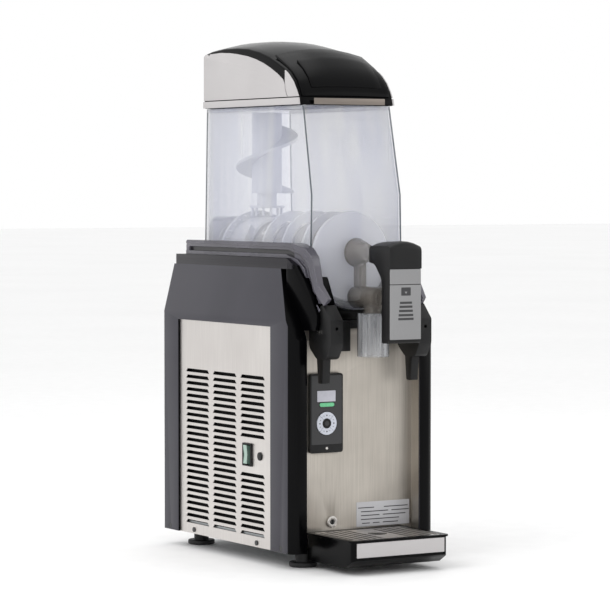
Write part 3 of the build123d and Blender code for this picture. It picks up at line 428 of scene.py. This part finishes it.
for name in ("left_side_moulding", "right_side_moulding"):
    piece = softened(name, 1.4, 3)
    finishPiece(piece, mouldedAbs, bodyOf[name], [name])
    piece.data.materials.append(polishedAbs)
    for face in piece.data.polygons:
        # the front of each moulding gets the near-black polished material: partly a black front, partly
        # painted shade, darker than the lit sides
        if face.normal.y < -0.3:
            face.material_index = 1
print("rounded frame parts")


# deck: painted shade, black where it faces sideways at the nose, underneath and between the bowl walls, where
# shade falls

deckShadeZones = {"noseStart": -96.0, "underside": 452.0, "middleHalf": 62.0}
deck = softened("top_deck", 3.2, 4)
finishPiece(deck, deckAbs, "machine", ["top_deck"])
deck.data.materials.append(polishedAbs)
# painted shade: these faces get the near-black polished material
for face in deck.data.polygons:
    middle = face.center / mm
    onNoseSide = middle.y < deckShadeZones["noseStart"] and abs(face.normal.x) > 0.8
    if onNoseSide or middle.z < deckShadeZones["underside"] or abs(middle.x) < deckShadeZones["middleHalf"]:
        face.material_index = 1


# collar round the bowl: two lips and a dark groove; the steps are shares of its run and its drop

collar = {"front": -180.0, "run": 78.0, "top": 493.0, "drop": 83.0, "taper": 17.0, "rear": 230.0,
          "rearRound": 5.0, "groove": (98.0, 101.0), "band": (98.6, 104.9), "bandDepths": (5.0, 10.6),
          "steps": [(1.0, 0.0), (0.64, 0.09), (0.44, 0.25), (0.38, 0.45), (0.29, 0.74), (0.0, 1.0)]}
curveStart = collar["front"] + collar["run"]
collarPiece = softened("bowl_collar", 0)
editAll(collarPiece)
bpy.ops.mesh.select_mode(type="EDGE")
bpy.ops.mesh.select_all(action="DESELECT")
objectMode()
for edge in collarPiece.data.edges:
    # the top edge at the rear
    ends = [collarPiece.data.vertices[k].co / mm for k in edge.vertices]
    edge.select = all(abs(end.y - collar["rear"]) < 1 and end.z > collar["top"] - 1 for end in ends)
bpy.ops.object.mode_set(mode="EDIT")
bpy.ops.mesh.bevel(offset=collar["rearRound"] * mm, segments=5)
bpy.ops.mesh.select_mode(type="VERT")
objectMode()
bevelEdges(collarPiece, 1.8, 3)
smooth(collarPiece)
finishPiece(collarPiece, collarSmoke, "machine", ["bowl_collar"])
collarPiece.data.materials.append(collarGrooveShade)
grooveInner, grooveOuter = collar["groove"]
# painted shade: the outward faces in the groove get the dark material
for face in collarPiece.data.polygons:
    middle = face.center / mm
    facesOut = face.normal.x * middle.x > 0 and abs(face.normal.x) > 0.8
    if facesOut and grooveInner < abs(middle.x) < grooveOuter and middle.y > curveStart:
        face.material_index = 1


def collarLine(depth):
    # the front curve of the collar, moved in by a depth
    return [(collar["front"] + collar["run"] * along + depth, collar["top"] - collar["drop"] * down - depth)
            for along, down in collar["steps"]]


# the band on each side thickens the upper lip and closes the groove at the rear
bands = []
for side in (-1, 1):
    rearEnd = [(221, 482.4), (221, 475.6), (229.6, 475.6), (229.8, 484)]
    upperDepth, lowerDepth = collar["bandDepths"]
    outline = [(228, 488)] + collarLine(upperDepth) + list(reversed(collarLine(lowerDepth))) + rearEnd
    low, high = sorted(side * reach for reach in collar["band"])
    band = outlinePiece("collarBand", outline, "x", low, high)
    for vertex in band.data.vertices:
        share = max((curveStart - vertex.co.y / mm) / collar["run"], 0)
        vertex.co.x -= side * collar["taper"] * share * mm
    bevelEdges(band, 1.2, 3, 40)
    smooth(band, 40)
    bands.append(band)
finishPiece(joined("collarBands", bands), collarSmoke, "machine")
print("deck and collar")


# tray grid: a black rim round a slotted steel plate

grid = {"rim": 6.0, "corner": 5.0, "slots": 5, "pitch": 12.0, "start": 24.0, "slot": 6.4, "slotMargin": 4.0,
        "hole": 15.0}
gridLow, gridHigh = [[value / mm for value in corner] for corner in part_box("tray_grid")]
innerLow = [gridLow[0] + grid["rim"], gridLow[1] + grid["rim"]]
innerHigh = [gridHigh[0] - grid["rim"], gridHigh[1] - grid["rim"]]
rimOutline = roundCorners([(gridLow[0], gridLow[1]), (gridHigh[0], gridLow[1]), (gridHigh[0], gridHigh[1]),
                           (gridLow[0], gridHigh[1])], grid["corner"])
gridRim = outlinePiece("gridRim", rimOutline, "z", gridLow[2], gridHigh[2])
cutAway(gridRim, boxPiece("opening", (*innerLow, gridLow[2] - 2), (*innerHigh, gridHigh[2] + 2)))
bevelEdges(gridRim, 0.6, 3, 40)
smooth(gridRim)
finishPiece(gridRim, polishedAbs, bodyOf["tray_grid"], ["tray_grid"])
gridPlate = boxPiece("gridPlate", (*innerLow, gridLow[2]), (*innerHigh, gridHigh[2] - 0.4))
slotBoxes = []
for side in (-1, 1):
    for k in range(grid["slots"]):
        place = side * (grid["start"] + grid["pitch"] * k)
        low, high = place - grid["slot"] / 2, place + grid["slot"] / 2
        slotBoxes.append(boxPiece("slot", (low, innerLow[1] + grid["slotMargin"], gridLow[2] - 10),
                                  (high, innerHigh[1] - grid["slotMargin"], gridHigh[2] + 7)))
cutAway(gridPlate, joined("slots", slotBoxes))
gridMiddle = (innerLow[1] + innerHigh[1]) / 2
cutAway(gridPlate, rodPiece("hole", grid["hole"], "z", (0, gridMiddle, 0), gridLow[2] - 10, gridHigh[2] + 7))
smooth(gridPlate)
finishPiece(gridPlate, brushedSide, bodyOf["tray_grid"])
print("tray grid")


# louvred side panels

louvres = {"columns": [(116, 191), (29, 104), (-58, 17)], "first": 43.0, "pitch": 10.1, "height": 5.4,
           "cut": 5.0, "rows": 25, "skipped": range(10, 15), "face": 126.5, "shadePlace": 119.0,
           "shadeHalf": 0.6}


def louvredPanel(name, side, withSwitch):
    low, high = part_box(name)
    inner = louvres["face"] - 1.0
    plate = boxPiece(name + "Plate", [value / mm for value in low], [value / mm for value in high])
    slots = []
    for number, (rear, front) in enumerate(louvres["columns"]):
        for row in range(louvres["rows"]):
            if number == 2 and row in louvres["skipped"]:
                continue
            middle = louvres["first"] + louvres["pitch"] * row
            base = middle - louvres["height"] / 2
            top = middle + louvres["height"] / 2
            cut = louvres["cut"]
            outline = [(rear, base), (front, base), (front - cut, top), (rear + cut, top)]
            slots.append(outlinePiece("slot", outline, "x", side * inner - 2, side * inner + 2))
    cutAway(plate, joined("slots", slots))
    if withSwitch:
        cutAway(plate, boxPiece("opening", (-135, -18.5, 149), (-120, 4.5, 181)))
        cutAway(plate, rodPiece("hole", 5.2, "x", (0, -44, 165), -135, -120))
    smooth(plate)
    finishPiece(plate, brushedSide, bodyOf[name], [name])
    # painted shade: a dark sheet behind the slots, so that they read as dark openings
    place = side * louvres["shadePlace"]
    sheet = boxPiece(name + "Filter", (place - louvres["shadeHalf"], -72, 34),
                     (place + louvres["shadeHalf"], 203, 352), 0.3)
    if withSwitch:
        cutAway(sheet, boxPiece("opening", (-135, -52, 148), (-110, 6, 182)))
    finishPiece(sheet, shadeBlack, bodyOf[name])


louvredPanel("left_side_panel", -1, True)
louvredPanel("right_side_panel", 1, False)
print("louvred panels")


# lid

lid = {"half": 85.0, "crown": 13.0, "cuts": (-72, -54, -36, -18, 0, 18, 36, 54, 72)}
lidProfile = [(205, 703.3), (205, 783), (199, 790), (180, 793.5), (140, 796.5), (100, 796), (65, 793.5),
              (30, 787), (0, 778.5), (-25, 769), (-46, 759.5), (-60, 751.5), (-74, 739.5), (-84, 726),
              (-90, 712), (-92, 703.3)]


def crownLift(x, z):
    # the top bulges in the middle, and the bulge fades towards the lower edge
    share = min(max((z - 712) / 60, 0), 1)
    return lid["crown"] * (1 - (x / lid["half"]) ** 2) * share


def bulge(piece):
    for vertex in piece.data.vertices:
        x, y, z = (value / mm for value in vertex.co)
        vertex.co.z += crownLift(x, z) * mm


def crossCuts(piece):
    for place in lid["cuts"]:
        editAll(piece)
        bpy.ops.mesh.bisect(plane_co=(place * mm, 0, 0), plane_no=(1, 0, 0))
        objectMode()


shell = outlinePiece("lidShell", lidProfile, "x", -lid["half"], lid["half"])
crossCuts(shell)
bulge(shell)
hollow = outlinePiece("hollow", [(200, 700), (200, 760), (60, 770), (-10, 752), (-60, 725), (-80, 700)],
                      "x", -80, 80)
cutAway(shell, hollow)
bevelEdges(shell, 2.2, 3, 40)
smooth(shell, 40)
finishPiece(shell, polishedAbs, "lid_body", ["lid_cover"])

visorProfile = [(-18, 772), (-8, 778.5), (-10, 780.5), (-25, 773), (-46, 762.7), (-61, 754), (-76, 741.5),
                (-87, 727), (-90.8, 716.5), (-88, 716.5), (-74, 737), (-60, 750), (-46, 758)]
visor = outlinePiece("lidVisor", visorProfile, "x", -79, 79)
crossCuts(visor)
bulge(visor)
bevelEdges(visor, 0.8, 3, 40)
smooth(visor, 50)
finishPiece(visor, polishedAbs, "lid_body")
insetProfile = [(-42, 767.8), (-48, 764), (-63, 754.8), (-77, 743), (-87.5, 729), (-84, 725), (-60, 748),
                (-44, 758)]
panel = outlinePiece("lidVisorPanel", insetProfile, "x", -60, 66)
crossCuts(panel)
bulge(panel)
bevelEdges(panel, 0.7, 3, 40)
smooth(panel, 50)
finishPiece(panel, polishedAbs, "lid_body")

sideSheets = {
    "Main": [(204.4, 716), (204.4, 786), (199, 790), (190, 789.5), (188, 786.5), (184, 790), (150, 791),
             (120, 789.5), (96, 787), (64, 782.5), (39, 777), (15, 770), (-6, 762), (-28, 752), (-44, 743),
             (-48.5, 736), (-51, 726), (-54, 719), (-58, 716)],
    "Front": [(-49.5, 742), (-49.8, 757.2), (-56, 753.6), (-61, 750.5), (-74, 739), (-84, 725.5),
              (-89.5, 716), (-60, 716), (-55.6, 719.5), (-52.6, 726), (-50, 735)],
    "Band": [(205.6, 704), (205.6, 714.4), (-90.5, 714.4), (-92.5, 704)],
}
for side, place in (("Left", -1), ("Right", 1)):
    sheets = []
    for part, outline in sideSheets.items():
        proud = 1.6 if part == "Band" else 1.0
        low, high = sorted((place * (lid["half"] - 1), place * (lid["half"] + proud)))
        sheet = outlinePiece("lidSheet" + part, outline, "x", low, high)
        bevelEdges(sheet, 0.35, 2, 30)
        sheets.append(sheet)
    sheet = joined("lidSide" + side, sheets)
    smooth(sheet)
    finishPiece(sheet, silverLacquer, "lid_body", ["lid_left_panel" if place < 0 else "lid_right_panel"])
print("lid")


# painted shade: dark strips up the corners of the bowl stand in for the dark lines where the light leaves the
# sheet

bowl = {"half": 82.0, "lean": 4.0, "axis": 472.0, "top": 703.0, "rear": 208.0, "front": -120.0,
        "slant": 566.0, "topFront": -92.0, "stripWidth": 1.5, "stripDepth": 2.6, "proud": 0.15}


def bowlCorner(name, side, rear):
    # a slender dark strip up a corner of the bowl, painted shade, which leans in with the wall
    low = bowl["axis"]
    outer = side * (bowl["half"] + bowl["proud"])
    near, far = sorted((outer, outer - side * bowl["stripWidth"]))
    start = (bowl["rear"] - bowl["stripDepth"] + 0.2) if rear else (bowl["front"] - 0.2)
    strip = boxPiece(name, (near, start, low), (far, start + bowl["stripDepth"], bowl["top"] - 1))
    editAll(strip)
    bpy.ops.mesh.bisect(plane_co=(0, 0, bowl["slant"] * mm), plane_no=(0, 0, 1))
    objectMode()
    for vertex in strip.data.vertices:
        height = vertex.co.z / mm
        vertex.co.x -= side * bowl["lean"] * (height - low) / (bowl["top"] - low) * mm
        if not rear and height > bowl["slant"] + 1:
            vertex.co.y += (bowl["topFront"] - bowl["front"]) * mm
    bevelEdges(strip, 0.3, 2)
    smooth(strip)
    return strip


strips = [bowlCorner("edge", side, rear) for side in (-1, 1) for rear in (True, False)]
edges = joined("bowlCornerShades", strips)
finishPiece(edges, bowlCornerShade, "machine")
rim = outlinePiece("bowlRim", [(-89, 697), (205, 697), (205, 702.8), (-91, 702.8)], "x", -79.6, 79.6)
cutAway(rim, outlinePiece("inner", [(-86, 690), (202.5, 690), (202.5, 710), (-86, 710)], "x", -77.2, 77.2))
bevelEdges(rim, 0.5, 2)
finishPiece(rim, bowlClear, "machine")
print("bowl edges")


# tap lever

lever = {"half": 28.0, "seam": 433.0, "faceHalf": 27.0, "faceFront": -257.8, "faceBack": -254.4,
         "seamGap": 0.4, "markFront": -257.95, "markBack": -257.6,
         "archStart": 470.0, "arch": 7.0, "archRise": 28.0,
         "barPlaces": (405.9, 400.0, 393.8, 387.5, 381.7), "barHalf": 1.7,
         "barWidths": (21.4, 23.0, 24.5, 26.0, 27.4)}
leverProfile = roundCorners([(-199, 465), (-199, 496), (-258, 498), (-258, 456.4), (-254.4, 456.4),
                             (-254.4, 345.2), (-234.4, 345.2), (-234.4, 440), (-214, 463)],
                            [3, 9, 12, 1, 1, 3, 3, 26, 16], 6)
paddle = outlinePiece("leverBody", leverProfile, "x", -lever["half"], lever["half"])
for place in (-18, -9, 0, 9, 18):
    editAll(paddle)
    bpy.ops.mesh.bisect(plane_co=(place * mm, 0, 0), plane_no=(1, 0, 0))
    objectMode()
for vertex in paddle.data.vertices:
    # the top arches down towards both sides
    x, y, z = (value / mm for value in vertex.co)
    if z > lever["archStart"]:
        share = (z - lever["archStart"]) / lever["archRise"]
        vertex.co.z -= lever["arch"] * (x / lever["half"]) ** 2 * share * mm
cutAway(paddle, boxPiece("slot", (-9.4, -229, 440), (9.4, -190, 491)))
cutAway(paddle, boxPiece("pocket", (-8, -251.5, 386), (8, -225, 421)))
cutAway(paddle, boxPiece("barPocket", (-24.5, -251.0, 349), (24.5, -238, 384)))
bevelEdges(paddle, 1.6, 3, 40)
smooth(paddle, 45)
finishPiece(paddle, mouldedNylon, "lever_body", ["tap_lever"])

faceParts = []
for name, low, high in (("leverFace", 351, lever["seam"] - lever["seamGap"]),
                        ("leverFaceTop", lever["seam"] + lever["seamGap"], 456)):
    faceParts.append(boxPiece(name, (-lever["faceHalf"], lever["faceFront"], low),
                              (lever["faceHalf"], lever["faceBack"], high), 0.8, 3))
leverFace = joined("leverFace", faceParts)
smooth(leverFace)
finishPiece(leverFace, greyFace, "lever_body", ["lever_face"])
marks = []
for place, width in zip(lever["barPlaces"], lever["barWidths"]):
    marks.append(boxPiece("bar", (-width / 2, lever["markFront"], place - lever["barHalf"]),
                          (width / 2, lever["markBack"], place + lever["barHalf"]), 0.15))
frameOutline = roundCorners([(-8.4, 416.6), (8.4, 416.6), (8.4, 428.8), (-8.4, 428.8)], 1.2)
frameMark = outlinePiece("mark", frameOutline, "y", lever["markFront"], lever["markBack"])
cutAway(frameMark, outlinePiece("opening", [(-2.4, 422.5), (2.4, 422.5), (0, 418.8)], "y", -259, -257))
marks.append(frameMark)
finishPiece(joined("leverMarks", marks), darkInk, "lever_body")
print("lever")


# keypad marks, rating plate, switch, small screws

keypad = {"frame": (-79.5, -25.5, 186.0, 291.0), "front": -118.0, "keyFront": -119.0, "wheel": (-52.8, 218.0)}
left, right, base, top = keypad["frame"]
labelOutline = roundCorners([(left, base), (right, base), (right, top), (left, top)], 2.0)
film = outlinePiece("keypadLabel", labelOutline, "y", keypad["front"] - 0.25, keypad["front"] + 0.3)
cutAway(film, boxPiece("window", (-69.4, -120, 250.6), (-35.6, -110, 268.4)))
cutAway(film, rodPiece("wheelRoom", 18.6, "y", (-52.8, 0, 218), -122, -110, 0.4, 64))
cutAway(film, boxPiece("lightRoom", (-65.4, -120, 243.1), (-38.6, -110, 249.9)))
finishPiece(film, keypadFilm, "machine")
wheelX, wheelZ = keypad["wheel"]
keyNames = ("right", "up", "left", "down")
for number, key in enumerate(keyNames):
    turn = math.radians(90 * number)
    centre = (wheelX + 12.4 * math.cos(turn), wheelZ + 12.4 * math.sin(turn))
    dots = [rodPiece("dot", 1.1, "y", (centre[0], 0, centre[1]), keypad["keyFront"] - 0.45,
                     keypad["keyFront"], 0.1, 16)]
    for offset in (-0.42, 0.42):
        spot = (wheelX + 12.6 * math.cos(turn + offset), wheelZ + 12.6 * math.sin(turn + offset))
        dots.append(boxPiece("dash", (spot[0] - 0.9, keypad["keyFront"] - 0.4, spot[1] - 0.35),
                             (spot[0] + 0.9, keypad["keyFront"], spot[1] + 0.35)))
    finishPiece(joined("keyMark_" + key, dots), darkInk, "key_" + key)
ring = rodPiece("centreMark", 3.6, "y", (wheelX, 0, wheelZ), -119.85, -119.5, 0.1, 32)
finishPiece(ring, keypadFilm, "key_centre")
screw = turnedPiece("keypadScrew", [(0, -118.9), (1.6, -118.7), (2.3, -118.2), (2.3, -117.8), (0, -117.8)],
                    "y", (-52, 0, 180), 24)
cutAway(screw, boxPiece("slot", (-54, -119.5, 179.7), (-50, -118.5, 180.3)))
finishPiece(screw, polishedSteel, "machine")

plate = {"rows": ((84, 5, 34), (84, 52, 96), (78, 10, 60), (78, 66, 98), (72, 10, 44), (72, 50, 92),
                  (66, 10, 80), (60, 12, 26), (60, 32, 44), (60, 50, 78))}
lines = []
for height, start, end in plate["rows"]:
    lines.append(boxPiece("line", (start + 3, -112.62, height - 0.7), (end + 3, -112.45, height + 0.7)))
finishPiece(joined("plateLines", lines), darkInk, "machine")

rocker = {"centre": (-7.0, 165.0), "half": 10.8, "opening": (11.2, 16)}
centreY, centreZ = rocker["centre"]
roomY, roomZ = rocker["opening"]
bezel = boxPiece("switchBezel", (-129.9, -20.4, 147.2), (-114.0, 6.4, 182.8), 0.8, 3)
cutAway(bezel, boxPiece("opening", (-131, centreY - roomY, centreZ - roomZ),
                        (-112, centreY + roomY, centreZ + roomZ)))
smooth(bezel)
finishPiece(bezel, mouldedNylon, "machine", ["switch_bezel"])
rockerProfile = [(150.5, -121.7), (150.5, -129.5), (165, -128.3), (179.5, -129.8), (179.5, -123.7),
                 (165, -118.7)]
# painted highlight and shade: the rear half is pale, the front half dark green
for name, low, high, paint in (("Green", centreY - rocker["half"], centreY, rockerGreen),
                               ("Pale", centreY, centreY + rocker["half"], rockerPale)):
    half = outlinePiece("rocker" + name, [(x, z) for z, x in rockerProfile], "y", low, high)
    bevelEdges(half, 0.5, 3, 30)
    smooth(half)
    finishPiece(half, paint, "rocker_body", ["switch_rocker"] if name == "Green" else ())
print("keypad, plate and switch")

plainFinishes = {
    "drum_seal": whiteSilicone, "gearmotor": blackEnamel, "drive_shaft": polishedSteel,
    # the condenser is black as painted shade for the inside of the case
    "evaporator_drum": polishedSteel, "compressor": blackEnamel, "condenser": shadeBlack,
    "fan_shroud": zincSheet, "fan_blade": mouldedNylon, "fan_motor": blackEnamel,
    "refrigerant_pipes": copperTube, "filter_dryer": copperTube, "control_board": boardGreen,
    "lever_pin": polishedSteel, "lever_spring": polishedSteel, "cam_pins": polishedSteel,
    "piston_rings": mouldedRubber, "case_screws": blackEnamel, "button_centre": mouldedNylon,
    "button_up": keyPale, "button_down": keyPale, "button_left": keyPale, "button_right": keyPale,
}
for name, material in plainFinishes.items():
    nodes[name].data.materials.clear()
    nodes[name].data.materials.append(material)
print("plain finishes")


# camera, floor and light

cameraSet = {"place": (-2.3073, -3.7712, 0.5817), "toward": (0.5182, 0.8542, -0.0426), "lens": 166.6}
camera = bpy.data.objects.new("camera", bpy.data.cameras.new("camera"))
bpy.context.scene.collection.objects.link(camera)
camera.location = cameraSet["place"]
camera.rotation_euler = Vector(cameraSet["toward"]).to_track_quat("-Z", "Y").to_euler()
camera.data.lens = cameraSet["lens"]
camera.data.sensor_width = 36.0
camera.data.clip_end = 60.0
bpy.context.scene.camera = camera

clearSelection()
bpy.ops.mesh.primitive_plane_add(size=60, location=(0, 0, -0.0004))
floor = bpy.context.active_object
floor.name = "floor"
floorPaint = grained("floorPaint", {"IOR": 1.45}, "#f4f4f4", "#fafafa", 40.0, even, 0.0, (0.6, 0.7),
                     cloud=900)
floor.data.materials.append(floorPaint)

lamps = [
    ("keyLamp", (-2.6, -0.6, 2.2), 1.8, 26.0),
    ("fillLamp", (2.4, -2.2, 1.6), 1.6, 8.0),
    ("topLamp", (0.0, 0.4, 2.8), 2.0, 12.0),
]
for name, place, size, power in lamps:
    data = bpy.data.lights.new(name, "AREA")
    data.size = size
    data.energy = power
    lamp = bpy.data.objects.new(name, data)
    bpy.context.scene.collection.objects.link(lamp)
    lamp.location = place
    lamp.rotation_euler = (Vector((0, 0, 0.4)) - Vector(place)).to_track_quat("-Z", "Y").to_euler()
world = bpy.data.worlds.new("studio")
world.use_nodes = True
world.node_tree.nodes["Background"].inputs["Color"].default_value = linearColour("#ffffff")
world.node_tree.nodes["Background"].inputs["Strength"].default_value = 1.0
bpy.context.scene.view_settings.view_transform = "Standard"
bpy.context.scene.world = world
print("camera and light")
